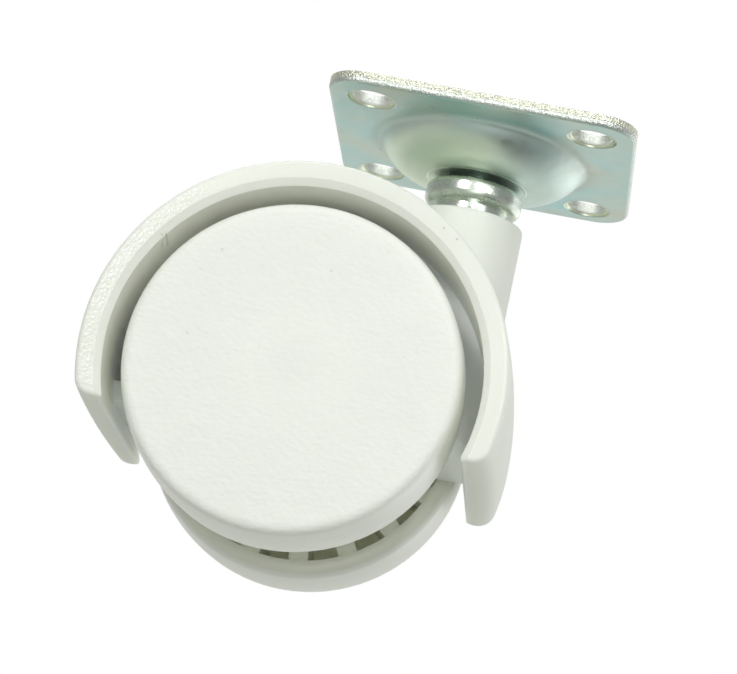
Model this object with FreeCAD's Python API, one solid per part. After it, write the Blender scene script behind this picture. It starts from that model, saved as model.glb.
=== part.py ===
import FreeCAD, Part
import math
import os
from FreeCAD import Vector

# Top plate castor with a moulded hood and two wheels. The origin is the middle of the plate's
# mounting face, on the swivel axis. +Z points at the furniture, the wheels hang below, and the
# axle runs along Y behind the stem, on its -X side.

# Top plate: a square of sheet steel with a pressed cup in its middle
plate_side = 38.0
plate_corner_radius = 4.8
plate_edge_rollover = 0.5
sheet_thickness = 1.5
screw_hole_radius = 2.5
screw_hole_to_edge = 5.35
screw_hole_rollover = 0.5
cup_base_radius = 13.2
cup_floor_radius = 6.0
cup_depth = 4.0
cup_bulge = 1.3
cup_base_fillet = 0.9
cup_floor_fillet = 0.4
cup_mouth_fillet = 0.9

# King pin: riveted into the cup, turned down to a journal and a grooved shank
tenon_radius = 3.5
rivet_head_radius = 5.4
rivet_head_height = 1.5
rivet_head_crown_radius = 3.0
shoulder_radius = 3.8
shoulder_height = 0.65
collar_radius = 6.1
collar_height = 2.75
collar_round = 0.9
journal_radius = 4.5
journal_length = 2.9
shank_radius = 4.0
shank_length = 21.4
shank_tip_chamfer = 1.2
groove_depth = 0.5
groove_width = 1.2
groove_from_tip = 4.0
rivet_clearance = 0.02

# Snap ring: sits in the pin's groove and turns in a pocket of the hood's bore
ring_thickness = 1.0
ring_outer_radius = 4.75
ring_gap = 2.2
ring_groove_clearance = 0.06
ring_pocket_clearance = 0.15

# Hood: one moulding with a stem tube, a stem block, a web, a flange and an axle boss
trail = 15.5
wheel_to_plate_gap = 17.1
hood_half_width = 18.5
hood_to_tread_gap = 2.2
hood_edge_thickness = 3.0
hood_crown = 0.5
rim_bevel = 0.8
rim_round = 0.6
end_outer_round = 2.2
end_inner_round = 0.5
rear_end_drop = 7.2
front_end_drop = 7.9
stem_tube_radius = 6.9
stem_tube_round = 0.3
collar_to_tube_gap = 1.7
stem_block_half_width = 6.3
stem_block_wall = 2.9
web_thickness = 1.8
flange_half_width = 6.9
flange_front_drop = 5.5
flange_front_height = 2.5
flange_rear_drop = 4.4
flange_rear_height = 2.15
boss_radius = 4.4
boss_half_width = 6.9
swivel_clearance = 0.06
pin_end_clearance = 0.05

# Axle: pressed into the boss, with a snap groove near each end
axle_radius = 2.5
axle_press_clearance = 0.01
axle_end_chamfer = 0.5
axle_end_clearance = 0.3
snap_groove_depth = 0.3
snap_groove_width = 1.3
snap_groove_from_end = 3.0

# Wheels: hollow mouldings with a closed outer face and radial ribs inside
wheel_face_offset = 19.0
wheel_inner_offset = 7.4
wheel_crown_radius = 20.4
wheel_crown_offset = 12.5
wheel_tread_fall = 0.35
wheel_face_round = 1.3
wheel_inner_round = 1.6
wheel_rim_thickness = 1.95
wheel_rim_draft = 0.4
wheel_disc_thickness = 2.2
hub_radius = 5.0
hub_end_clearance = 0.2
rib_count = 18
rib_thickness = 2.4
rib_phase = -81.4
rib_setback = 0.4
wheel_running_clearance = 0.06
snap_bead_clearance = 0.15

# Sizes and places that follow from the ones above
screw_hole_spacing = plate_side - 2 * screw_hole_to_edge
wheel_face_radius = wheel_crown_radius - wheel_tread_fall
wheel_rim_inner_radius = wheel_face_radius - wheel_rim_thickness
axle_drop = wheel_crown_radius + wheel_to_plate_gap
hood_inner_radius = wheel_crown_radius + hood_to_tread_gap
cup_floor_z = -sheet_thickness - cup_depth
shoulder_bottom_z = cup_floor_z - shoulder_height
collar_bottom_z = shoulder_bottom_z - collar_height
tube_top_z = collar_bottom_z - collar_to_tube_gap
journal_bottom_z = collar_bottom_z - journal_length
pin_tip_z = journal_bottom_z - shank_length
groove_centre_z = pin_tip_z + groove_from_tip
hood_edge_radius = hood_inner_radius + hood_edge_thickness
hood_crown_radius = hood_edge_radius + hood_crown
axle_half_length = wheel_face_offset - wheel_disc_thickness - axle_end_clearance
snap_groove_offset = axle_half_length - snap_groove_from_end
axle_centre = Vector(-trail, 0, -axle_drop)


def line(a, b):
    return Part.LineSegment(a, b).toShape()


def arc(a, middle, b):
    return Part.Arc(a, middle, b).toShape()


def polygon_face(points):
    return Part.Face(Part.makePolygon(points + [points[0]]))


def turned(radius_height_pairs):
    """Solid of revolution about Z from (radius, z) corners."""
    corners = [Vector(radius, 0, z) for radius, z in radius_height_pairs]
    return polygon_face(corners).revolve(Vector(0, 0, 0), Vector(0, 0, 1), 360)


def cylinder_along_y(radius, start, end, centre=Vector(0, 0, 0)):
    base = Vector(centre.x, start, centre.z)
    return Part.makeCylinder(radius, end - start, base, Vector(0, 1, 0))


def round_edges(shape, size, wanted):
    """Fillet each edge for which wanted(edge) is true."""
    return shape.makeFillet(size, [edge for edge in shape.Edges if wanted(edge)])


def at_height(z, radius):
    """Picks the circles of this radius about Z at this height."""
    def wanted(edge):
        circle = edge.Curve
        return (isinstance(circle, Part.Circle) and abs(circle.Center.z - z) < 1e-4
                and abs(circle.Radius - radius) < 1e-4)
    return wanted


def around_outline(z, least_radius):
    """Picks the edges at this height that lie wholly outside this radius about Z."""
    def wanted(edge):
        box = edge.BoundBox
        level = box.ZLength < 1e-4 and abs(box.ZMax - z) < 1e-4
        return level and all(math.hypot(vertex.X, vertex.Y) > least_radius
                             for vertex in edge.Vertexes)
    return wanted


def on_side(offset, radius):
    """Picks the circles of this radius about Y at this distance from the middle."""
    def wanted(edge):
        circle = edge.Curve
        return (isinstance(circle, Part.Circle) and abs(abs(circle.Center.y) - offset) < 1e-4
                and abs(circle.Radius - radius) < 1e-4)
    return wanted


def cup_arc(inset):
    """Three points of the cup's side, moved inwards from its outer face by inset."""
    base = Vector(cup_base_radius, 0, -sheet_thickness)
    floor = Vector(cup_floor_radius, 0, cup_floor_z)
    chord = floor - base
    outwards = Vector(-chord.z, 0, chord.x).normalize()
    middle = (base + floor) * 0.5 + outwards * (cup_bulge - inset)
    return (Vector(base.x - inset, 0, base.z + inset), middle,
            Vector(floor.x, 0, floor.z + inset))


def top_plate():
    half = plate_side / 2
    sheet = Part.makeBox(plate_side, plate_side, sheet_thickness,
                         Vector(-half, -half, -sheet_thickness))
    sheet = round_edges(sheet, plate_corner_radius, lambda edge: edge.BoundBox.ZLength > 0.1)
    sheet = round_edges(sheet, plate_edge_rollover, around_outline(-sheet_thickness, half))

    base, side, floor = cup_arc(0)
    mouth, inner_side, inner_floor = cup_arc(sheet_thickness)
    hole = tenon_radius + rivet_clearance
    outer = Part.Face(Part.Wire([
        line(Vector(0, 0, 0), Vector(0, 0, floor.z)), line(Vector(0, 0, floor.z), floor),
        arc(floor, side, base), line(base, Vector(base.x, 0, 0)),
        line(Vector(base.x, 0, 0), Vector(0, 0, 0))]))
    hollow = Part.Face(Part.Wire([
        line(Vector(0, 0, mouth.z), Vector(0, 0, inner_floor.z)),
        line(Vector(0, 0, inner_floor.z), inner_floor),
        arc(inner_floor, inner_side, mouth), line(mouth, Vector(0, 0, mouth.z))]))
    axis = (Vector(0, 0, 0), Vector(0, 0, 1), 360)
    plate = sheet.fuse(outer.revolve(*axis)).removeSplitter()
    plate = round_edges(plate, cup_base_fillet, at_height(-sheet_thickness, cup_base_radius))
    plate = round_edges(plate, cup_floor_fillet, at_height(cup_floor_z, cup_floor_radius))
    plate = plate.cut(hollow.revolve(*axis))
    plate = round_edges(plate, cup_mouth_fillet, at_height(0, mouth.x))
    plate = plate.cut(Part.makeCylinder(hole, plate_side, Vector(0, 0, -plate_side)))

    reach = screw_hole_spacing / 2
    for x in (-reach, reach):
        for y in (-reach, reach):
            drill = Part.makeCylinder(screw_hole_radius, 2 * sheet_thickness,
                                      Vector(x, y, -1.5 * sheet_thickness))
            plate = plate.cut(drill)
    return round_edges(plate, screw_hole_rollover,
                       at_height(-sheet_thickness, screw_hole_radius))


def king_pin():
    inside_floor_z = cup_floor_z + sheet_thickness
    groove_top = groove_centre_z + groove_width / 2
    groove_bottom = groove_centre_z - groove_width / 2
    groove_radius = shank_radius - groove_depth
    pin = turned([
        (0, inside_floor_z + rivet_head_height),
        (rivet_head_crown_radius, inside_floor_z + rivet_head_height),
        (rivet_head_radius, inside_floor_z),
        (tenon_radius, inside_floor_z), (tenon_radius, cup_floor_z),
        (shoulder_radius, cup_floor_z), (shoulder_radius, shoulder_bottom_z),
        (collar_radius, shoulder_bottom_z), (collar_radius, collar_bottom_z),
        (journal_radius, collar_bottom_z), (journal_radius, journal_bottom_z),
        (shank_radius, journal_bottom_z), (shank_radius, groove_top),
        (groove_radius, groove_top), (groove_radius, groove_bottom),
        (shank_radius, groove_bottom), (shank_radius, pin_tip_z + shank_tip_chamfer),
        (shank_radius - shank_tip_chamfer, pin_tip_z), (0, pin_tip_z)])
    pin = round_edges(pin, collar_round, at_height(shoulder_bottom_z, collar_radius))
    pin = round_edges(pin, collar_round, at_height(collar_bottom_z, collar_radius))
    return round_edges(pin, rivet_head_height / 3,
                       at_height(inside_floor_z + rivet_head_height, rivet_head_crown_radius))


def snap_ring():
    inner = shank_radius - groove_depth + ring_groove_clearance
    bottom = Vector(0, 0, groove_centre_z - ring_thickness / 2)
    ring = Part.makeCylinder(ring_outer_radius, ring_thickness, bottom)
    ring = ring.cut(Part.makeCylinder(inner, ring_thickness, bottom))
    slot = Part.makeBox(2 * ring_outer_radius, ring_gap, ring_thickness,
                        bottom + Vector(0, -ring_gap / 2, 0))
    return ring.cut(slot)


def hood_shell():
    """The curved cover: a crowned band about the axle, bevelled inside its rims, open below."""
    side, bevel_start = hood_half_width, hood_half_width - rim_bevel
    bevelled_radius = hood_inner_radius + rim_bevel
    corners = [Vector(hood_edge_radius, side), Vector(bevelled_radius, side),
               Vector(hood_inner_radius, bevel_start), Vector(hood_inner_radius, -bevel_start),
               Vector(bevelled_radius, -side), Vector(hood_edge_radius, -side)]
    straight = [line(a, b) for a, b in zip(corners, corners[1:])]
    crown = arc(corners[-1], Vector(hood_crown_radius, 0), corners[0])
    band = Part.Face(Part.Wire(straight + [crown]))
    shell = band.revolve(Vector(0, 0, 0), Vector(0, 1, 0), 360)
    reach = 2 * hood_crown_radius
    for start, drop in ((-reach, front_end_drop), (0, rear_end_drop)):
        below = Part.makeBox(reach, 2 * side, reach, Vector(start, -side, -drop - reach))
        shell = shell.cut(below)

    def across_end(edge):
        """An edge that runs from rim to rim along the outside of an end."""
        ends = [vertex.Point for vertex in edge.Vertexes]
        outside = all(math.hypot(p.x, p.z) > hood_edge_radius - 1e-3 for p in ends)
        return len(ends) == 2 and outside and abs(ends[0].y - ends[1].y) > side

    def around_rim(edge):
        """An edge of a rim's flat face, except the one shared with the bevel."""
        box = edge.BoundBox
        flat = box.YLength < 1e-4 and abs(abs(box.YMin) - side) < 1e-4
        middle = edge.valueAt((edge.FirstParameter + edge.LastParameter) / 2)
        on_bevel = abs(math.hypot(middle.x, middle.z) - bevelled_radius) < 1e-3
        return flat and not on_bevel

    def across_end_inside(edge):
        """A level edge that runs along the inside of an end, bevels included."""
        return edge.BoundBox.ZLength < 1e-4 and all(
            math.hypot(vertex.X, vertex.Z) < bevelled_radius + 1e-3 for vertex in edge.Vertexes)

    shell = round_edges(shell, end_outer_round, across_end)
    shell = round_edges(shell, rim_round, around_rim)
    return round_edges(shell, end_inner_round, across_end_inside)


def hood_inside():
    """What joins the shell, the stem and the axle between the two wheels."""
    inside = hood_inner_radius + hood_edge_thickness / 2
    block_front = trail - journal_radius - swivel_clearance - stem_block_wall
    block = Part.makeBox(inside - block_front, 2 * stem_block_half_width,
                         inside + flange_rear_drop,
                         Vector(block_front, -stem_block_half_width, -flange_rear_drop))
    flange = polygon_face([
        Vector(-inside, -flange_half_width, -flange_front_drop),
        Vector(-inside, -flange_half_width, flange_front_height - flange_front_drop),
        Vector(inside, -flange_half_width, flange_rear_height - flange_rear_drop),
        Vector(inside, -flange_half_width, -flange_rear_drop)])
    flange = flange.extrude(Vector(0, 2 * flange_half_width, 0))
    web = Part.makeBox(2 * inside, web_thickness, inside + flange_rear_drop,
                       Vector(-inside, -web_thickness / 2, -flange_rear_drop))
    boss = cylinder_along_y(boss_radius, -boss_half_width, boss_half_width)
    limit = cylinder_along_y(inside, -hood_half_width, hood_half_width)
    return block.multiFuse([flange, web]).common(limit).fuse(boss)


def hood():
    moulding = hood_shell().fuse(hood_inside())
    moulding.translate(axle_centre)

    tube = Part.makeCylinder(stem_tube_radius, axle_drop + tube_top_z,
                             Vector(0, 0, -axle_drop))
    tube = round_edges(tube, stem_tube_round, at_height(tube_top_z, stem_tube_radius))
    wheel_room = cylinder_along_y(hood_inner_radius, -hood_half_width, hood_half_width,
                                  axle_centre)
    moulding = moulding.fuse(tube.cut(wheel_room)).removeSplitter()

    pocket_half_height = ring_thickness / 2 + ring_pocket_clearance
    pocket_radius = ring_outer_radius + ring_pocket_clearance
    bore_radius = shank_radius + swivel_clearance
    journal_bore = journal_radius + swivel_clearance
    journal_floor = journal_bottom_z - pin_end_clearance
    stem_bore = turned([
        (0, tube_top_z), (journal_bore, tube_top_z), (journal_bore, journal_floor),
        (bore_radius, journal_floor), (bore_radius, groove_centre_z + pocket_half_height),
        (pocket_radius, groove_centre_z + pocket_half_height),
        (pocket_radius, groove_centre_z - pocket_half_height),
        (bore_radius, groove_centre_z - pocket_half_height),
        (bore_radius, pin_tip_z - pin_end_clearance), (0, pin_tip_z - pin_end_clearance)])
    axle_bore = cylinder_along_y(axle_radius + axle_press_clearance,
                                 -hood_half_width, hood_half_width, axle_centre)
    return moulding.cut(stem_bore).cut(axle_bore)


def axle():
    groove_near = snap_groove_offset - snap_groove_width / 2
    groove_far = snap_groove_offset + snap_groove_width / 2
    groove_radius = axle_radius - snap_groove_depth
    half = [(axle_radius, groove_near), (groove_radius, groove_near),
            (groove_radius, groove_far), (axle_radius, groove_far),
            (axle_radius, axle_half_length - axle_end_chamfer),
            (axle_radius - axle_end_chamfer, axle_half_length)]
    other_half = [(radius, -along) for radius, along in reversed(half)]
    outline = [(0, axle_half_length), (0, -axle_half_length)] + other_half + half
    corners = [Vector(radius, along) for radius, along in outline]
    rod = polygon_face(corners).revolve(Vector(0, 0, 0), Vector(0, 1, 0), 360)
    rod.translate(axle_centre)
    return rod


def wheel(side):
    """One wheel, its closed face towards side * Y."""
    rim_end = Vector(wheel_rim_inner_radius, wheel_inner_offset)
    inner_corner = Vector(wheel_face_radius, wheel_inner_offset)
    tread = Vector(wheel_crown_radius, wheel_crown_offset)
    face_corner = Vector(wheel_face_radius, wheel_face_offset)
    disc_inside = wheel_face_offset - wheel_disc_thickness
    rim_root = Vector(wheel_rim_inner_radius - wheel_rim_draft, disc_inside)
    hub_root = Vector(hub_radius, disc_inside)
    hub_end = boss_half_width + hub_end_clearance
    section = Part.Face(Part.Wire([
        line(rim_end, inner_corner), arc(inner_corner, tread, face_corner),
        line(face_corner, Vector(0, wheel_face_offset)),
        line(Vector(0, wheel_face_offset), Vector(0, hub_end)),
        line(Vector(0, hub_end), Vector(hub_radius, hub_end)),
        line(Vector(hub_radius, hub_end), hub_root), line(hub_root, rim_root),
        line(rim_root, rim_end)]))
    body = section.revolve(Vector(0, 0, 0), Vector(0, 1, 0), 360)
    body = round_edges(body, wheel_face_round, on_side(wheel_face_offset, wheel_face_radius))
    body = round_edges(body, wheel_inner_round, on_side(wheel_inner_offset, wheel_face_radius))

    rib_start = wheel_inner_offset + rib_setback
    rim_middle = (wheel_rim_inner_radius + wheel_face_radius) / 2
    ribs = []
    for number in range(rib_count):
        rib = Part.makeBox(rim_middle, disc_inside - rib_start + wheel_disc_thickness / 2,
                           rib_thickness, Vector(0, rib_start, -rib_thickness / 2))
        rib.rotate(Vector(0, 0, 0), Vector(0, 1, 0), -rib_phase - number * 360 / rib_count)
        ribs.append(rib)
    body = body.multiFuse(ribs).removeSplitter()

    bore_radius = axle_radius + wheel_running_clearance
    bead_radius = bore_radius - snap_groove_depth
    bead_near = snap_groove_offset - snap_groove_width / 2 + snap_bead_clearance
    bead_far = snap_groove_offset + snap_groove_width / 2 - snap_bead_clearance
    bore_corners = [(0, 0), (bore_radius, 0), (bore_radius, bead_near),
                    (bead_radius, bead_near), (bead_radius, bead_far),
                    (bore_radius, bead_far), (bore_radius, disc_inside), (0, disc_inside)]
    bore = polygon_face([Vector(radius, along) for radius, along in bore_corners])
    body = body.cut(bore.revolve(Vector(0, 0, 0), Vector(0, 1, 0), 360))
    if side < 0:
        body = body.mirror(Vector(0, 0, 0), Vector(0, 1, 0))
    body.translate(axle_centre)
    return body


parts = {
    "top_plate": top_plate(),
    "king_pin": king_pin(),
    "snap_ring": snap_ring(),
    "hood": hood(),
    "axle": axle(),
    "wheel_left": wheel(-1),
    "wheel_right": wheel(1),
}

os.makedirs("parts", exist_ok=True)
for name, shape in parts.items():
    shape.exportStep("parts/" + name + ".step")
    print(name, "solids", len(shape.Solids), "valid", shape.isValid(),
          "volume", round(shape.Volume, 1))
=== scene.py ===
import math
import bpy
from mathutils import Euler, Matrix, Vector


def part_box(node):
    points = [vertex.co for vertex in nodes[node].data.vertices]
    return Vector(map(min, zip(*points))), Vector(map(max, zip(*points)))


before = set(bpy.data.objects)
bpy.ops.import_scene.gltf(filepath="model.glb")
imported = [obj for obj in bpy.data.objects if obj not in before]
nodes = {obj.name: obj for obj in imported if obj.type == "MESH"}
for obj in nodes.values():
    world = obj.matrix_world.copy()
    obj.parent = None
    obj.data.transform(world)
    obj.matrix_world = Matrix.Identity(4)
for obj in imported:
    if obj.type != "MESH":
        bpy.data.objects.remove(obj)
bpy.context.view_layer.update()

scene = bpy.context.scene
mm = 0.001
noiseDetail = 2.0
axleLow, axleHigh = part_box("axle")
axleCentre = tuple((axleLow + axleHigh) / 2)


# Helpers for shader trees

def addNode(tree, kind, settings=None, **inputs):
    node = tree.nodes.new(kind)
    for name, value in (settings or {}).items():
        setattr(node, name, value)
    setInputs(node, inputs)
    return node


def setInputs(node, values):
    for name, value in values.items():
        node.inputs[name].default_value = value
    return node


def feed(tree, socket, value):  # link another node's output, or set a plain number or colour
    if isinstance(value, bpy.types.NodeSocket):
        tree.links.new(value, socket)
    elif value is not None:
        socket.default_value = value


def mathNode(tree, operation, first, second=None):
    node = addNode(tree, "ShaderNodeMath", {"operation": operation})
    feed(tree, node.inputs[0], first)
    feed(tree, node.inputs[1], second)
    return node.outputs[0]


def vectorNode(tree, operation, first, second=None):
    node = addNode(tree, "ShaderNodeVectorMath", {"operation": operation})
    feed(tree, node.inputs[0], first)
    feed(tree, node.inputs[1], second)
    single = operation in ("LENGTH", "DOT_PRODUCT", "DISTANCE")
    return node.outputs["Value" if single else "Vector"]


def times(tree, *values):
    result = values[0]
    for value in values[1:]:
        result = mathNode(tree, "MULTIPLY", result, value)
    return result


def plus(tree, *values):
    result = values[0]
    for value in values[1:]:
        result = mathNode(tree, "ADD", result, value)
    return result


def smoothStep(tree, value, start, end):  # 0 at start, 1 at end
    node = addNode(tree, "ShaderNodeMapRange", {"interpolation_type": "SMOOTHSTEP"})
    feed(tree, node.inputs["Value"], value)
    feed(tree, node.inputs["From Min"], start)
    feed(tree, node.inputs["From Max"], end)
    return node.outputs["Result"]


def nearTo(tree, value, middle, reach):  # 1 at middle, 0 beyond reach on both sides
    away = mathNode(tree, "ABSOLUTE", mathNode(tree, "SUBTRACT", value, middle))
    return smoothStep(tree, away, reach, 0.0)


def mixColour(tree, factor, first, second):
    node = addNode(tree, "ShaderNodeMix", {"data_type": "RGBA"})
    for index, value in ((0, factor), (6, first), (7, second)):  # the Mix node's colour sockets
        feed(tree, node.inputs[index], value)
    return node.outputs[2]


def separate(tree, vector):
    node = tree.nodes.new("ShaderNodeSeparateXYZ")
    tree.links.new(vector, node.inputs[0])
    return node.outputs


def bump(tree, height, strength, distance):
    node = addNode(tree, "ShaderNodeBump", Strength=strength, Distance=distance)
    tree.links.new(height, node.inputs["Height"])
    return node.outputs[0]


def newGroup(name, inputs, outputs):
    group = bpy.data.node_groups.new(name, "ShaderNodeTree")
    for socketName, kind, value in inputs:
        socket = group.interface.new_socket(socketName, in_out="INPUT", socket_type=kind)
        if value is not None:
            socket.default_value = value
    for socketName in outputs:
        group.interface.new_socket(socketName, in_out="OUTPUT", socket_type="NodeSocketFloat")
    return group, group.nodes.new("NodeGroupInput"), group.nodes.new("NodeGroupOutput")


def newMaterial(name):
    material = bpy.data.materials.new(name)
    material.use_nodes = True
    tree = material.node_tree
    shader = next(n for n in tree.nodes if n.type == "BSDF_PRINCIPLED")
    place = tree.nodes.new("ShaderNodeTexCoord").outputs["Object"]
    return material, tree, shader, place


def useGroup(tree, group, place, values):
    node = addNode(tree, "ShaderNodeGroup", {"node_tree": group})
    setInputs(node, values)
    tree.links.new(place, node.inputs["Place"])
    return node.outputs


def giveMaterial(piece, material):
    for slot in piece.material_slots:
        slot.material = material
    if not piece.material_slots:
        piece.data.materials.append(material)


# Shared effects, in metres as Object coordinates are. Sizes of specks are shares of their spacing.

def makeGrain():  # raised grain, drawn out along X as on a moulded face
    group, start, end = newGroup(
        "mouldedGrain",
        [("Place", "NodeSocketVector", None), ("Grain Size", "NodeSocketFloat", 0.0004),
         ("Stretch", "NodeSocketFloat", 1.0), ("Sharpness", "NodeSocketFloat", 0.5)],
        ["Height"])
    frequency = mathNode(group, "DIVIDE", 1.0, start.outputs["Grain Size"])
    axes = addNode(group, "ShaderNodeCombineXYZ", Y=1.0, Z=1.0)
    feed(group, axes.inputs["X"], mathNode(group, "DIVIDE", 1.0, start.outputs["Stretch"]))
    place = vectorNode(group, "MULTIPLY", start.outputs["Place"], axes.outputs[0])
    noise = addNode(group, "ShaderNodeTexNoise", Detail=noiseDetail, Roughness=0.6)
    cells = addNode(group, "ShaderNodeTexVoronoi", {"feature": "F1"})
    for texture in (noise, cells):
        feed(group, texture.inputs["Vector"], place)
        feed(group, texture.inputs["Scale"], frequency)
    mix = addNode(group, "ShaderNodeMix", {"data_type": "FLOAT"})
    feed(group, mix.inputs[0], start.outputs["Sharpness"])
    feed(group, mix.inputs[2], noise.outputs["Fac"])
    feed(group, mix.inputs[3], cells.outputs["Distance"])
    feed(group, end.inputs["Height"], mix.outputs[0])
    return group


def makeSpecks():  # scattered tiny dots
    group, start, end = newGroup(
        "tinySpecks",
        [("Place", "NodeSocketVector", None), ("Spacing", "NodeSocketFloat", 0.008),
         ("Size", "NodeSocketFloat", 0.02), ("Rarity", "NodeSocketFloat", 0.6)],
        ["Mask"])
    cells = addNode(group, "ShaderNodeTexVoronoi", Randomness=1.0)
    feed(group, cells.inputs["Vector"], start.outputs["Place"])
    feed(group, cells.inputs["Scale"], mathNode(group, "DIVIDE", 1.0, start.outputs["Spacing"]))
    half = times(group, start.outputs["Size"], 0.5)
    dot = smoothStep(group, cells.outputs["Distance"], start.outputs["Size"], half)
    chance = separate(group, cells.outputs["Color"])[0]
    kept = mathNode(group, "GREATER_THAN", chance, start.outputs["Rarity"])
    feed(group, end.inputs["Mask"], times(group, dot, kept))
    return group


def makeClouds():  # slow change from place to place, 0 to 1
    group, start, end = newGroup(
        "slowClouds",
        [("Place", "NodeSocketVector", None), ("Size", "NodeSocketFloat", 0.01),
         ("Contrast", "NodeSocketFloat", 2.0)],
        ["Mask"])
    noise = addNode(group, "ShaderNodeTexNoise", Detail=noiseDetail, Roughness=0.5)
    feed(group, noise.inputs["Vector"], start.outputs["Place"])
    feed(group, noise.inputs["Scale"], mathNode(group, "DIVIDE", 1.0, start.outputs["Size"]))
    centred = times(group, mathNode(group, "SUBTRACT", noise.outputs["Fac"], 0.5),
                    start.outputs["Contrast"])
    mask = mathNode(group, "MAXIMUM", plus(group, centred, 0.5), 0.0)
    feed(group, end.inputs["Mask"], mathNode(group, "MINIMUM", mask, 1.0))
    return group


def makeAboutAxle():  # how far out from the axle, and how far to either side of the middle
    group, start, end = newGroup(
        "aboutAxle",
        [("Place", "NodeSocketVector", None), ("Centre", "NodeSocketVector", None)],
        ["Radius", "Across"])
    away = vectorNode(group, "SUBTRACT", start.outputs["Place"], start.outputs["Centre"])
    feed(group, end.inputs["Radius"],
         vectorNode(group, "LENGTH", vectorNode(group, "MULTIPLY", away, (1, 0, 1))))
    feed(group, end.inputs["Across"], mathNode(group, "ABSOLUTE", separate(group, away)["Y"]))
    return group


def makeScuff():  # one worn line, or a dot where Start and End are the same
    group, start, end = newGroup(
        "scuffMark",
        [("Place", "NodeSocketVector", None), ("Start", "NodeSocketVector", None),
         ("End", "NodeSocketVector", None), ("Width", "NodeSocketFloat", 0.0003)],
        ["Mask"])
    fromStart = vectorNode(group, "SUBTRACT", start.outputs["Place"], start.outputs["Start"])
    line = vectorNode(group, "SUBTRACT", start.outputs["End"], start.outputs["Start"])
    share = mathNode(group, "DIVIDE", vectorNode(group, "DOT_PRODUCT", fromStart, line),
                     vectorNode(group, "DOT_PRODUCT", line, line))
    share = mathNode(group, "MINIMUM", mathNode(group, "MAXIMUM", share, 0.0), 1.0)
    nearest = addNode(group, "ShaderNodeVectorMath", {"operation": "SCALE"})
    feed(group, nearest.inputs[0], line)
    feed(group, nearest.inputs["Scale"], share)
    away = vectorNode(group, "DISTANCE", fromStart, nearest.outputs[0])
    core = times(group, start.outputs["Width"], 0.3)
    feed(group, end.inputs["Mask"], smoothStep(group, away, start.outputs["Width"], core))
    return group


grain = makeGrain()
specks = makeSpecks()
clouds = makeClouds()
aboutAxle = makeAboutAxle()
scuff = makeScuff()
print("shared effects ready")


def scuffs(tree, place, marks):  # all of a piece's marks in one mask
    result = None
    for mark in marks:
        one = useGroup(tree, scuff, place, mark)["Mask"]
        result = one if result is None else mathNode(tree, "MAXIMUM", result, one)
    return result


# Moulded nylon of the hood and wheels

plastic = {
    "ior": 1.5,
    "subsurface": 0.4,
    "subsurfaceRadius": (1.0, 1.0, 0.9),
    "subsurfaceScale": 4.0 * mm,
    "markColour": (0.50, 0.51, 0.43, 1),
}

hoodLook = {
    "colour": (0.914, 0.952, 0.856, 1),
    "shadeColour": (0.898, 0.930, 0.836, 1),
    "rimColour": (0.870, 0.900, 0.800, 1),
    # painted light: the inside walls lighter and yellower than the outside, standing in for light
    # through the thin nylon
    "insidePaintedLight": (0.962, 0.981, 0.886, 1),
    # painted light: the web and flange bluish and lighter, standing in for light shining through
    # them
    "webPaintedLight": (0.955, 0.995, 0.962, 1),
    "webOffset": 9.0 * mm,  # the flange and web lie within this of the middle
    "webBlend": 0.5 * mm,
    "roughness": 0.46,
    "insideRoughness": 0.34,
    "rimRoughness": 0.23,
    "patchRoughness": 0.06,
    "partingRadius": 23.4 * mm,  # from the axle
    "partingWidth": 0.16 * mm,
    "partingBlend": 0.1 * mm,
    "partingWander": {"Grain Size": 0.9 * mm, "Sharpness": 0.4},
    "partingReach": 0.5 * mm,
    "rimOffset": 18.2 * mm,  # the rims face sideways from here outwards
    "rimBlend": 0.4 * mm,
    "endHeight": -44.4 * mm,  # the cut ends lie below this, without sparkle
    "endBlend": 0.3 * mm,
    "patches": {"Size": 9 * mm, "Contrast": 2.0},
    "fineGrain": {"Grain Size": 0.32 * mm, "Sharpness": 0.25},
    "fineShare": 0.30,
    "coarseGrain": {"Grain Size": 0.38 * mm, "Sharpness": 0.75},
    "sparkleFrom": -18 * mm,  # along X, strongest where the left light grazes the rim
    "sparkleFull": -35 * mm,
    "sparkleLeft": 0.42,
    "sparklePatches": 0.15,
    "sparkleLeast": 0.10,
    "flashShare": 0.45,
    "markShare": -0.6,
    "reliefStrength": 0.9,
    "reliefDepth": 0.075 * mm,
    "dots": {"Spacing": 7 * mm, "Size": 0.030, "Rarity": 0.75},
    "dotStain": 0.35,
    "markStain": 0.5,
    "marks": [
        {"Start": (-34.19 * mm, -18.0 * mm, -24.40 * mm),
         "End": (-34.43 * mm, -15.0 * mm, -25.15 * mm), "Width": 0.22 * mm},
        {"Start": (-33.78 * mm, -17.8 * mm, -24.2 * mm),
         "End": (-33.96 * mm, -14.0 * mm, -24.45 * mm), "Width": 0.20 * mm},
        {"Start": (-1.28 * mm, -18.5 * mm, -17.4 * mm),
         "End": (-1.28 * mm, -18.5 * mm, -17.4 * mm), "Width": 0.24 * mm},
        {"Start": (0.51 * mm, -18.5 * mm, -18.45 * mm),
         "End": (0.51 * mm, -18.5 * mm, -18.45 * mm), "Width": 0.22 * mm},
    ],
}

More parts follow.
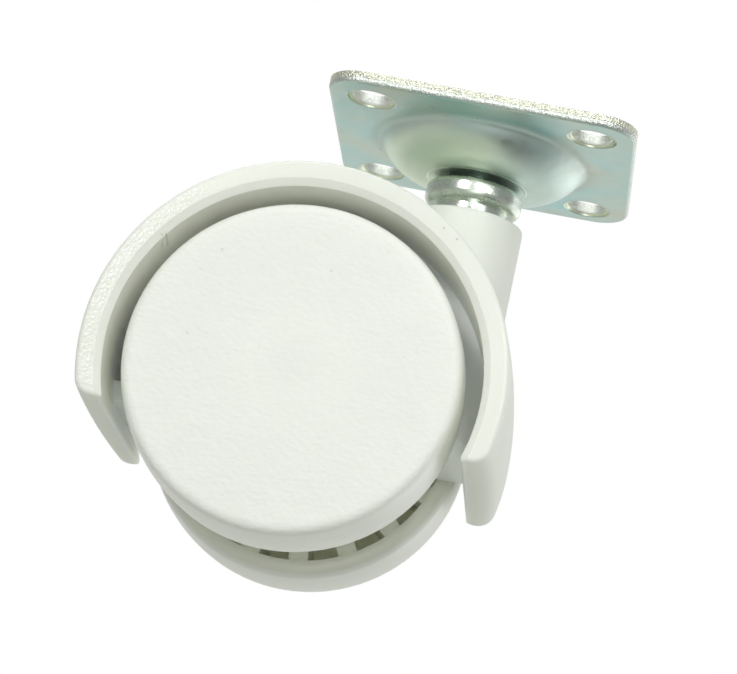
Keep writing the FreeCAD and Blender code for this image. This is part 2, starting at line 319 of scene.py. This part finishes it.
wheelLook = {
    "colour": (0.914, 0.952, 0.860, 1),
    "shadeColour": (0.903, 0.930, 0.848, 1),
    "treadColour": (0.925, 0.947, 0.862, 1),
    # painted shade: darker and yellower in the hollow between the ribs
    "hollowPaintedShade": (0.830, 0.850, 0.735, 1),
    "hollowRadius": 19.6 * mm,
    "hollowBlend": 0.3 * mm,
    "faceRoughness": 0.50,
    "treadRoughness": 0.26,
    "patchRoughness": 0.05,
    "treadEnd": 18.0 * mm,
    "faceStart": 18.8 * mm,
    "grainTurn": 11.0,  # degrees, the way the leather grain runs across the face
    "leather": {"Grain Size": 0.52 * mm, "Stretch": 1.5, "Sharpness": 0.45},
    "creases": {"Grain Size": 1.5 * mm, "Stretch": 1.8, "Sharpness": 0.2},
    "creaseShare": 0.9,
    "swell": {"Grain Size": 3.0 * mm, "Sharpness": 0.0},
    "swellShare": 0.5,
    "pits": {"Spacing": 2.2 * mm, "Size": 0.09, "Rarity": 0.6},
    "pitShare": -0.35,
    "markShare": -0.5,
    "reliefDepth": 0.11 * mm,
    "patches": {"Size": 12 * mm, "Contrast": 1.8},
    "dots": {"Spacing": 9 * mm, "Size": 0.022, "Rarity": 0.72},
    "dotStain": 0.3,
    "markStain": 0.2,
    "marks": [
        {"Start": spot, "End": spot, "Width": 0.26 * mm} for spot in (
            (-28.36 * mm, -19.0 * mm, -36.00 * mm), (-13.28 * mm, -19.0 * mm, -25.31 * mm),
            (-26.54 * mm, -19.0 * mm, -25.23 * mm))
    ],
}


def setPlastic(shader):
    setInputs(shader, {
        "IOR": plastic["ior"], "Subsurface Weight": plastic["subsurface"],
        "Subsurface Radius": plastic["subsurfaceRadius"],
        "Subsurface Scale": plastic["subsurfaceScale"]})


def makeHoodPlastic():  # grained outside, sparkling rim beyond the parting line, smooth inside with painted light
    look = hoodLook
    material, tree, shader, place = newMaterial("hoodNylon")
    setPlastic(shader)
    where = useGroup(tree, aboutAxle, place, {"Centre": axleCentre})
    wander = useGroup(tree, grain, place, look["partingWander"])["Height"]
    wander = times(tree, mathNode(tree, "SUBTRACT", wander, 0.5), look["partingReach"])
    ragged = plus(tree, where["Radius"], wander)
    parting, blend = look["partingRadius"], look["partingBlend"]
    outside = smoothStep(tree, ragged, parting - blend, parting + blend)
    flash = nearTo(tree, ragged, parting, look["partingWidth"])
    rimFace = smoothStep(tree, where["Across"], look["rimOffset"] - look["rimBlend"],
                         look["rimOffset"])
    height = separate(tree, place)["Z"]
    endFace = smoothStep(tree, height, look["endHeight"] + look["endBlend"], look["endHeight"])
    edge = times(tree, rimFace, outside, mathNode(tree, "SUBTRACT", 1.0, endFace))

    patches = useGroup(tree, clouds, place, look["patches"])["Mask"]
    fine = useGroup(tree, grain, place, look["fineGrain"])["Height"]
    coarse = useGroup(tree, grain, place, look["coarseGrain"])["Height"]
    leftward = smoothStep(tree, separate(tree, place)["X"], look["sparkleFrom"],
                          look["sparkleFull"])
    sparkle = plus(tree, times(tree, leftward, look["sparkleLeft"]),
                   times(tree, patches, look["sparklePatches"]), look["sparkleLeast"])
    marks = scuffs(tree, place, look["marks"])
    relief = plus(tree, times(tree, fine, outside, look["fineShare"]),
                  times(tree, coarse, edge, sparkle), times(tree, flash, look["flashShare"]),
                  times(tree, marks, look["markShare"]))
    feed(tree, shader.inputs["Normal"],
         bump(tree, relief, look["reliefStrength"], look["reliefDepth"]))

    dots = useGroup(tree, specks, place, look["dots"])["Mask"]
    tint = mixColour(tree, patches, look["colour"], look["shadeColour"])
    tint = mixColour(tree, times(tree, edge, patches), tint, look["rimColour"])
    # the web and flange get bluish painted light
    web = smoothStep(tree, where["Across"], look["webOffset"] + look["webBlend"],
                     look["webOffset"])
    inside = mixColour(tree, web, look["insidePaintedLight"], look["webPaintedLight"])
    # inside the parting line the colour is painted light, lighter than the outside
    tint = mixColour(tree, outside, inside, tint)
    stained = mathNode(tree, "MAXIMUM", times(tree, dots, look["dotStain"]),
                       times(tree, marks, look["markStain"]))
    feed(tree, shader.inputs["Base Color"], mixColour(tree, stained, tint, plastic["markColour"]))

    step = look["roughness"] - look["insideRoughness"]
    gloss = times(tree, edge, look["rimRoughness"] - look["roughness"])
    feed(tree, shader.inputs["Roughness"],
         plus(tree, times(tree, outside, step), gloss,
              times(tree, patches, look["patchRoughness"]), look["insideRoughness"]))
    return material


def makeWheelPlastic():  # grained face, smooth tread, painted shade in the hollow between the ribs
    look = wheelLook
    material, tree, shader, place = newMaterial("wheelNylon")
    setPlastic(shader)
    where = useGroup(tree, aboutAxle, place, {"Centre": axleCentre})
    face = smoothStep(tree, where["Across"], look["treadEnd"], look["faceStart"])
    turned = addNode(tree, "ShaderNodeVectorRotate", {"rotation_type": "Y_AXIS"},
                     Angle=math.radians(look["grainTurn"]))
    tree.links.new(place, turned.inputs["Vector"])
    leather = useGroup(tree, grain, turned.outputs[0], look["leather"])["Height"]
    creases = useGroup(tree, grain, turned.outputs[0], look["creases"])["Height"]
    swell = useGroup(tree, grain, place, look["swell"])["Height"]
    pits = useGroup(tree, specks, place, look["pits"])["Mask"]
    marks = scuffs(tree, place, look["marks"])
    relief = plus(tree, times(tree, leather, face), times(tree, creases, face, look["creaseShare"]),
                  times(tree, swell, look["swellShare"]),
                  times(tree, pits, face, look["pitShare"]), times(tree, marks, look["markShare"]))
    feed(tree, shader.inputs["Normal"], bump(tree, relief, 1.0, look["reliefDepth"]))

    patches = useGroup(tree, clouds, place, look["patches"])["Mask"]
    dots = useGroup(tree, specks, place, look["dots"])["Mask"]
    tint = mixColour(tree, patches, look["colour"], look["shadeColour"])
    # painted shade in the hollow within the tread
    within = smoothStep(tree, where["Radius"], look["hollowRadius"] + look["hollowBlend"],
                        look["hollowRadius"])
    smoothTint = mixColour(tree, within, look["treadColour"], look["hollowPaintedShade"])
    tint = mixColour(tree, face, smoothTint, tint)
    stained = mathNode(tree, "MAXIMUM", times(tree, dots, look["dotStain"]),
                       times(tree, marks, look["markStain"]))
    feed(tree, shader.inputs["Base Color"], mixColour(tree, stained, tint, plastic["markColour"]))
    step = look["faceRoughness"] - look["treadRoughness"]
    feed(tree, shader.inputs["Roughness"],
         plus(tree, times(tree, face, step), times(tree, patches, look["patchRoughness"]),
              look["treadRoughness"]))
    return material


# Zinc-plated sheet of the top plate

sheet = {
    "blue": (0.45, 0.66, 0.67, 1),
    "grey": (0.60, 0.65, 0.59, 1),
    # the cup's zinc film with a painted reflection: lighter than the flat sheet, greener on the
    # left and bluer on the right
    "domeGreenFilmAndSheen": (0.82, 0.91, 0.77, 1),
    "domeBlueFilmAndSheen": (0.68, 0.80, 0.78, 1),
    "domeShare": 0.85,
    "fractureYellow": (0.90, 0.91, 0.76, 1),
    "shearSilver": (0.75, 0.80, 0.77, 1),
    "crumbColour": (0.46, 0.50, 0.42, 1),
    # painted highlight on the rolled lips of the holes and on the cup's mouth
    "lipPaintedHighlight": (0.93, 0.97, 0.74, 1),
    "wallWhite": (0.80, 0.83, 0.78, 1),
    "pitColour": (0.22, 0.28, 0.26, 1),
    "halfSide": 19 * mm,
    "cornerRadius": 4.8 * mm,
    "edgeFrom": 0.22 * mm,  # inside the plate's outline
    "edgeFull": 0.12 * mm,
    "shearHeight": -0.75 * mm,
    "tearWander": {"Grain Size": 1.2 * mm, "Sharpness": 0.4},
    "tearReach": 0.35 * mm,
    "tearFrom": 0.12 * mm,  # above the sheared band
    "tearFull": 0.24 * mm,
    "domeRadius": 12.4 * mm,
    "domeOutside": 1.2 * mm,
    "domeInside": 1.0 * mm,
    "domeBlueFull": 9 * mm,
    "pressRingRadius": 13.5 * mm,
    "pressRingReach": 1.6 * mm,
    "pressRingShare": 0.5,
    "mouthRadius": 6.3 * mm,  # where the pin comes out of the cup
    "mouthReach": 0.22 * mm,
    "mouthHighlightShare": 0.15,
    "holeOffset": 13.65 * mm,
    "holeRadius": 2.5 * mm,
    "lipOutside": 0.66 * mm,
    "lipInside": 0.10 * mm,
    "wallOutside": 0.12 * mm,
    "wallInside": 0.04 * mm,
    "film": {"Size": 9 * mm, "Contrast": 3.2},
    "haze": {"Size": 2.4 * mm, "Contrast": 2.2},
    "pits": {"Spacing": 2.6 * mm, "Size": 0.06, "Rarity": 0.72},
    "pitShare": 0.8,
    "crumbs": {"Grain Size": 0.22 * mm, "Sharpness": 0.8},
    "crumbLevels": (0.62, 0.30),  # grain heights with no crumb and a full one
    "crumbsOnWall": 0.5,
    "crumbsOnEdge": 0.65,
    "torn": {"Grain Size": 0.28 * mm, "Sharpness": 0.7},
    "rolled": {"Grain Size": 0.35 * mm, "Stretch": 6.0, "Sharpness": 0.1},
    "orange": {"Grain Size": 1.6 * mm, "Sharpness": 0.0},
    "tornLeast": 0.5,
    "relief": {"torn": 2.2, "rolled": 0.05, "orange": 0.20, "pits": -0.5, "lip": -7.0,
               "mouth": 1.2},
    "reliefDepth": 0.07 * mm,
    "roughness": 0.27,
    "addedRoughness": {"haze": 0.10, "edge": 0.16, "dome": 0.09, "pressRing": 0.22,
                       "mouth": -0.16, "wall": 0.25},
}


def fromFold(tree, place, offset):  # plan place measured from the four points at +-offset
    flat = vectorNode(tree, "MULTIPLY", vectorNode(tree, "ABSOLUTE", place), (1, 1, 0))
    return vectorNode(tree, "SUBTRACT", flat, (offset, offset, 0))


def weighted(tree, masks, shares):  # the masks' sum, each times its own share
    return plus(tree, *[times(tree, masks[name], share) for name, share in shares.items()])


def makeZincSheet():  # blue film, greener cup with a painted reflection, sheared and torn cut edge, painted highlight on the hole lips and cup mouth
    material, tree, shader, place = newMaterial("zincSheet")
    shader.inputs["Metallic"].default_value = 1.0
    radius = sheet["cornerRadius"]
    corner = fromFold(tree, place, sheet["halfSide"] - radius)
    outwards = vectorNode(tree, "LENGTH", vectorNode(tree, "MAXIMUM", corner, (0, 0, 0)))
    fromHole = vectorNode(tree, "LENGTH", fromFold(tree, place, sheet["holeOffset"]))
    height = separate(tree, place)["Z"]
    fromAxis = vectorNode(tree, "LENGTH", vectorNode(tree, "MULTIPLY", place, (1, 1, 0)))
    edge = smoothStep(tree, outwards, radius - sheet["edgeFrom"], radius - sheet["edgeFull"])
    wander = useGroup(tree, grain, place, sheet["tearWander"])["Height"]
    level = plus(tree, height, times(tree, wander, sheet["tearReach"]))
    fracture = smoothStep(tree, level, sheet["shearHeight"] + sheet["tearFrom"],
                          sheet["shearHeight"] + sheet["tearFull"])
    hole = sheet["holeRadius"]
    lip = smoothStep(tree, fromHole, hole + sheet["lipOutside"], hole + sheet["lipInside"])
    dome = smoothStep(tree, fromAxis, sheet["domeRadius"] + sheet["domeOutside"],
                      sheet["domeRadius"] - sheet["domeInside"])
    pressRing = nearTo(tree, fromAxis, sheet["pressRingRadius"], sheet["pressRingReach"])
    mouth = nearTo(tree, fromAxis, sheet["mouthRadius"], sheet["mouthReach"])
    wall = smoothStep(tree, fromHole, hole + sheet["wallOutside"], hole + sheet["wallInside"])

    film = useGroup(tree, clouds, place, sheet["film"])["Mask"]
    haze = useGroup(tree, clouds, place, sheet["haze"])["Mask"]
    pits = useGroup(tree, specks, place, sheet["pits"])["Mask"]
    flat = mixColour(tree, film, sheet["blue"], sheet["grey"])
    # painted reflection on the cup, greener to the left and bluer to the right
    rightward = smoothStep(tree, separate(tree, place)["X"], 0.0, sheet["domeBlueFull"])
    domeFilmAndSheen = mixColour(tree, rightward, sheet["domeGreenFilmAndSheen"], sheet["domeBlueFilmAndSheen"])
    flat = mixColour(tree, times(tree, dome, sheet["domeShare"]), flat, domeFilmAndSheen)
    flat = mixColour(tree, times(tree, pressRing, sheet["pressRingShare"]), flat,
                     sheet["shearSilver"])
    flat = mixColour(tree, times(tree, pits, sheet["pitShare"]), flat, sheet["pitColour"])
    # painted highlight on the hole lips and, weaker, on the cup's mouth
    paintedLipHighlight = mathNode(tree, "MAXIMUM", lip, times(tree, mouth, sheet["mouthHighlightShare"]))
    flat = mixColour(tree, paintedLipHighlight, flat, sheet["lipPaintedHighlight"])
    crumbs = useGroup(tree, grain, place, sheet["crumbs"])["Height"]
    crumbs = smoothStep(tree, crumbs, *sheet["crumbLevels"])
    speckled = mixColour(tree, times(tree, crumbs, fracture, sheet["crumbsOnWall"]),
                         sheet["wallWhite"], sheet["crumbColour"])
    flat = mixColour(tree, wall, flat, speckled)
    side = mixColour(tree, fracture, sheet["shearSilver"], sheet["fractureYellow"])
    side = mixColour(tree, times(tree, crumbs, sheet["crumbsOnEdge"]), side, sheet["crumbColour"])
    feed(tree, shader.inputs["Base Color"], mixColour(tree, edge, flat, side))

    torn = useGroup(tree, grain, place, sheet["torn"])["Height"]
    rolled = useGroup(tree, grain, place, sheet["rolled"])["Height"]
    orange = useGroup(tree, grain, place, sheet["orange"])["Height"]
    tornShare = plus(tree, times(tree, fracture, 1 - sheet["tornLeast"]), sheet["tornLeast"])
    torn = times(tree, torn, edge, tornShare)
    relief = weighted(tree, {"torn": torn, "rolled": rolled, "orange": orange, "pits": pits,
                             "lip": lip, "mouth": mouth}, sheet["relief"])
    feed(tree, shader.inputs["Normal"], bump(tree, relief, 1.0, sheet["reliefDepth"]))
    added = weighted(tree, {"haze": haze, "edge": edge, "dome": dome, "pressRing": pressRing,
                            "mouth": mouth, "wall": wall}, sheet["addedRoughness"])
    feed(tree, shader.inputs["Roughness"], plus(tree, added, sheet["roughness"]))
    return material


# Turned and drawn steel

steel = {
    "pin": {"colour": (0.78, 0.84, 0.76, 1), "worn": (0.60, 0.66, 0.59, 1), "roughness": 0.19,
            "groove": 0.16 * mm, "grooveDepth": 0.004 * mm,
            "dent": 1.3 * mm, "dentDepth": 0.012 * mm, "patch": 1.6 * mm},
    "axle": {"colour": (0.60, 0.61, 0.62, 1), "worn": (0.50, 0.51, 0.52, 1), "roughness": 0.28,
             "groove": 0.2 * mm, "grooveDepth": 0.003 * mm,
             "dent": 2 * mm, "dentDepth": 0.01 * mm, "patch": 3 * mm},
    "ring": {"colour": (0.20, 0.21, 0.22, 1), "worn": (0.13, 0.14, 0.15, 1), "roughness": 0.38,
             "groove": 0.3 * mm, "grooveDepth": 0.003 * mm,
             "dent": 1 * mm, "dentDepth": 0.01 * mm, "patch": 2 * mm},
    "dentSharpness": 0.3,
    "patchContrast": 2.4,
    "patchRoughness": 0.14,
}

gapShade = {  # painted shade on the pin, in the gap under the cup
    "colour": (0.09, 0.14, 0.13, 1),
    "share": 0.9,
    "top": -5.2 * mm,
    "topBlend": 0.2 * mm,
    "bottom": -6.25 * mm,
    "bottomBlend": 0.1 * mm,
    "radius": 5.3 * mm,
    "radiusBlend": 0.5 * mm,
}


def addGapShade(tree, place, tint):
    fromAxis = vectorNode(tree, "LENGTH", vectorNode(tree, "MULTIPLY", place, (1, 1, 0)))
    height = separate(tree, place)["Z"]
    above = smoothStep(tree, height, gapShade["bottom"], gapShade["bottom"] + gapShade["bottomBlend"])
    within = smoothStep(tree, fromAxis, gapShade["radius"], gapShade["radius"] - gapShade["radiusBlend"])
    below = smoothStep(tree, height, gapShade["top"] + gapShade["topBlend"], gapShade["top"])
    # painted shade in the gap between the cup and the pin's collar
    gap = times(tree, above, within, below)
    return mixColour(tree, times(tree, gap, gapShade["share"]), tint, gapShade["colour"])


def makeSteel(name, along):  # turning or drawing marks follow each other along one axis
    values = steel[name]
    material, tree, shader, place = newMaterial(name + "Steel")
    shader.inputs["Metallic"].default_value = 1.0
    turnMarks = addNode(tree, "ShaderNodeTexNoise", {"noise_dimensions": "1D"}, Detail=noiseDetail)
    feed(tree, turnMarks.inputs["W"],
         mathNode(tree, "DIVIDE", separate(tree, place)[along], values["groove"]))
    dents = useGroup(tree, grain, place, {"Grain Size": values["dent"],
                                          "Sharpness": steel["dentSharpness"]})["Height"]
    relief = plus(tree, times(tree, turnMarks.outputs["Fac"], values["grooveDepth"] / mm),
                  times(tree, dents, values["dentDepth"] / mm))
    feed(tree, shader.inputs["Normal"], bump(tree, relief, 1.0, mm))
    patches = useGroup(tree, clouds, place, {"Size": values["patch"],
                                             "Contrast": steel["patchContrast"]})["Mask"]
    tint = mixColour(tree, patches, values["colour"], values["worn"])
    # painted shade darkens the pin in the gap under the cup
    if name == "pin":
        tint = addGapShade(tree, place, tint)
    feed(tree, shader.inputs["Base Color"], tint)
    feed(tree, shader.inputs["Roughness"],
         plus(tree, times(tree, patches, steel["patchRoughness"]), values["roughness"]))
    return material


giveMaterial(nodes["hood"], makeHoodPlastic())
wheelPlastic = makeWheelPlastic()
for name in ("wheel_left", "wheel_right"):
    giveMaterial(nodes[name], wheelPlastic)
giveMaterial(nodes["top_plate"], makeZincSheet())
giveMaterial(nodes["king_pin"], makeSteel("pin", "Z"))
giveMaterial(nodes["axle"], makeSteel("axle", "Y"))
giveMaterial(nodes["snap_ring"], makeSteel("ring", "Z"))
print("materials given to", len(nodes), "pieces")


# Floor, light and camera

studio = {
    "floorColour": (0.70, 0.70, 0.69, 1),
    "floorShade": (0.68, 0.68, 0.67, 1),
    "floorPatches": {"Size": 0.12, "Contrast": 1.0},
    "floorRoughness": 0.8,
    "floorGlow": 0.24,
    "floorRadius": 2.5,
    "floorSides": 128,
    "floorDrop": 0.05 * mm,  # below the wheels
    "backdropBrightness": 1.0,
    "ambientAbove": 0.32,
    "ambientBelow": 0.40,
    "horizonSpan": 0.7,  # Z of the direction where the light above or below is full
    "ambientBehind": 0.80,
    "behindSpan": (0.3, 0.9),  # along Y, from where the backdrop adds light
    "lowColour": (0.97, 1.0, 0.92, 1),
    "darkCard": (0.42, -0.25, -0.87),  # the direction of its middle
    "darkCardEdge": (0.90, 0.968),
    "darkCardDepth": 0.8,
    "lights": [
        {"name": "leftLight", "place": (-0.24, -0.50, 0.17), "size": 0.09, "power": 0.80},
        {"name": "frontLight", "place": (0.06, -0.30, 0.04), "size": 0.045, "power": 0.160},
        {"name": "rightLight", "place": (0.16, -0.25, 0.10), "size": 0.04, "power": 0.140},
        {"name": "cameraLight", "place": (0.05, -0.50, -0.18), "size": 0.25, "power": 0.30},
        {"name": "backLight", "place": (0.50, 0.45, -0.08), "size": 0.80, "power": 1.00},
        {"name": "topLight", "place": (0.05, 0.05, 0.60), "size": 0.50, "power": 1.90},
    ],
    "lightTarget": (-0.010, 0.0, -0.030),
}


def makeFloor():  # seen from above only: the photograph's view looks up past it
    bpy.ops.mesh.primitive_circle_add(vertices=studio["floorSides"], radius=studio["floorRadius"],
                                      fill_type="NGON")
    floor = bpy.context.object
    floor.name = "paleFloor"
    lowest = min(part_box(name)[0].z for name in nodes)
    floor.location.z = lowest - studio["floorDrop"]
    material, tree, shader, place = newMaterial("floorPaint")
    setInputs(shader, {"Roughness": studio["floorRoughness"], "Emission Color": (1, 1, 1, 1),
                       "Emission Strength": studio["floorGlow"]})
    patches = useGroup(tree, clouds, place, studio["floorPatches"])["Mask"]
    feed(tree, shader.inputs["Base Color"],
         mixColour(tree, patches, studio["floorColour"], studio["floorShade"]))
    output = next(n for n in tree.nodes if n.type == "OUTPUT_MATERIAL")
    clear = tree.nodes.new("ShaderNodeBsdfTransparent")
    switch = tree.nodes.new("ShaderNodeMixShader")
    geometry = tree.nodes.new("ShaderNodeNewGeometry")
    path = tree.nodes.new("ShaderNodeLightPath")
    front = mathNode(tree, "SUBTRACT", 1.0, geometry.outputs["Backfacing"])
    feed(tree, switch.inputs[0], times(tree, path.outputs["Is Camera Ray"], front))
    feed(tree, switch.inputs[1], clear.outputs[0])
    feed(tree, switch.inputs[2], shader.outputs[0])
    feed(tree, output.inputs["Surface"], switch.outputs[0])
    giveMaterial(floor, material)


def makeRoom():  # white behind the object, softer as a light, with one dark card low in front
    world = bpy.data.worlds.new("studioRoom")
    scene.world = world
    world.use_nodes = True
    tree = world.node_tree
    background = next(n for n in tree.nodes if n.type == "BACKGROUND")
    towards = tree.nodes.new("ShaderNodeTexCoord").outputs["Generated"]
    upwards = smoothStep(tree, separate(tree, towards)["Z"], -studio["horizonSpan"],
                         studio["horizonSpan"])
    ambient = plus(tree, times(tree, upwards, studio["ambientAbove"] - studio["ambientBelow"]),
                   studio["ambientBelow"])
    behind = smoothStep(tree, separate(tree, towards)["Y"], *studio["behindSpan"])
    gain = mathNode(tree, "SUBTRACT", studio["ambientBehind"], ambient)
    ambient = plus(tree, ambient, times(tree, behind, gain))
    card = tuple(Vector(studio["darkCard"]).normalized())
    facing = vectorNode(tree, "DOT_PRODUCT", towards, card)
    shade = times(tree, smoothStep(tree, facing, *studio["darkCardEdge"]), studio["darkCardDepth"])
    ambient = times(tree, ambient, mathNode(tree, "SUBTRACT", 1.0, shade))
    lightPath = tree.nodes.new("ShaderNodeLightPath")
    level = addNode(tree, "ShaderNodeMix", {"data_type": "FLOAT"})
    feed(tree, level.inputs[0], lightPath.outputs["Is Camera Ray"])
    feed(tree, level.inputs[2], ambient)
    feed(tree, level.inputs[3], studio["backdropBrightness"])
    feed(tree, background.inputs["Strength"], level.outputs[0])
    whiteness = mathNode(tree, "MAXIMUM", upwards, lightPath.outputs["Is Camera Ray"])
    feed(tree, background.inputs["Color"],
         mixColour(tree, whiteness, studio["lowColour"], (1, 1, 1, 1)))


def makeLights():
    target = Vector(studio["lightTarget"])
    for values in studio["lights"]:
        data = bpy.data.lights.new(values["name"], "AREA")
        data.shape = "DISK"
        data.size = values["size"]
        data.energy = values["power"]
        light = bpy.data.objects.new(values["name"], data)
        light.location = values["place"]
        light.rotation_euler = (target - light.location).to_track_quat("-Z", "Y").to_euler()
        scene.collection.objects.link(light)


view = {  # matched to the photograph: below the plate, looking up at the wheel's face
    "place": (27.13 * mm, -341.90 * mm, -116.22 * mm),
    "turnDegrees": (104.802, -11.848, 2.975),
    "lens": 139.68,
    "sensor": 36.0,
    "clipStart": 0.01,
}


def makeCamera():
    data = bpy.data.cameras.new("photoCamera")
    data.sensor_width = view["sensor"]
    data.lens = view["lens"]
    data.clip_start = view["clipStart"]
    camera = bpy.data.objects.new("photoCamera", data)
    camera.location = view["place"]
    camera.rotation_euler = Euler([math.radians(a) for a in view["turnDegrees"]])
    scene.collection.objects.link(camera)
    scene.camera = camera


makeFloor()
makeRoom()
makeLights()
makeCamera()
scene.view_settings.view_transform = "Standard"
print("floor, light and camera ready")
